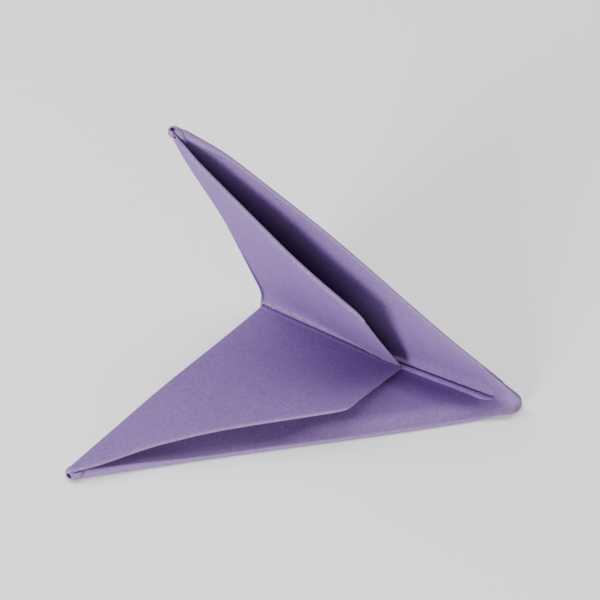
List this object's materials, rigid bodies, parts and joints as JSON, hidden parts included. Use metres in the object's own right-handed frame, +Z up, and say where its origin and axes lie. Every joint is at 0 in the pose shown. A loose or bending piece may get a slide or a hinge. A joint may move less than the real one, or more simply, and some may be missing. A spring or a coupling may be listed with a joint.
{
  "type": "paper airplane",
  "caption": "Small folded paper airplane: pointed double-layer wings creased into a V, with a flap folded forward over their trailing edges.",
  "frame": {"origin": "middle of the bounding box, on the outer face of the right wing, which lies on the surface", "axes": "+X from the trailing edge to the nose along the centre crease, the right wing lies from the crease towards -Y, and +Z is up, so the left wing stands over it"},
  "size_m": [0.066, 0.0706, 0.0627],
  "materials": {
    "paper": "matt, uncoated, fine fibre grain"
  },
  "bodies": {
    "right_wing": {"right_wing_skin": "paper", "right_wing_lining": "paper", "right_leading_fold": "paper", "right_trailing_fold": "paper"},
    "left_wing": {"left_wing_skin": "paper", "left_wing_lining": "paper", "left_leading_fold": "paper", "left_trailing_fold": "paper"},
    "right_flap": {"right_flap_outer": "paper", "right_flap_inner": "paper", "right_flap_tuck": "paper", "right_flap_side_fold": "paper"},
    "left_flap": {"left_flap_outer": "paper", "left_flap_inner": "paper", "left_flap_tuck": "paper", "left_flap_side_fold": "paper"}
  },
  "joints": [
    {"name": "wing_fold", "type": "hinge", "parent": "right_wing", "child": "left_wing", "pos_m": [-0.033, 0.03468, 0.0006], "axis": [-1, 0, 0], "range_deg": [-38, 58], "stiffness_Nm_per_rad": 0.004, "springref_deg": 2.58},
    {"name": "right_flap_fold", "type": "hinge", "parent": "right_wing", "child": "right_flap", "pos_m": [-0.03232, 0.03468, 0.00068], "axis": [0, -1, 0], "range_deg": [-3.8, 5.8]},
    {"name": "left_flap_fold", "type": "hinge", "parent": "left_wing", "child": "left_flap", "pos_m": [-0.03232, 0.03461, 0.00056], "axis": [0, 0.4695, -0.8829], "range_deg": [-3.8, 5.8]}
  ],
  "couplings": [
    {"joint": "right_flap_fold", "follows": "wing_fold", "ratio": 0.1},
    {"joint": "left_flap_fold", "follows": "wing_fold", "ratio": 0.1}
  ]
}
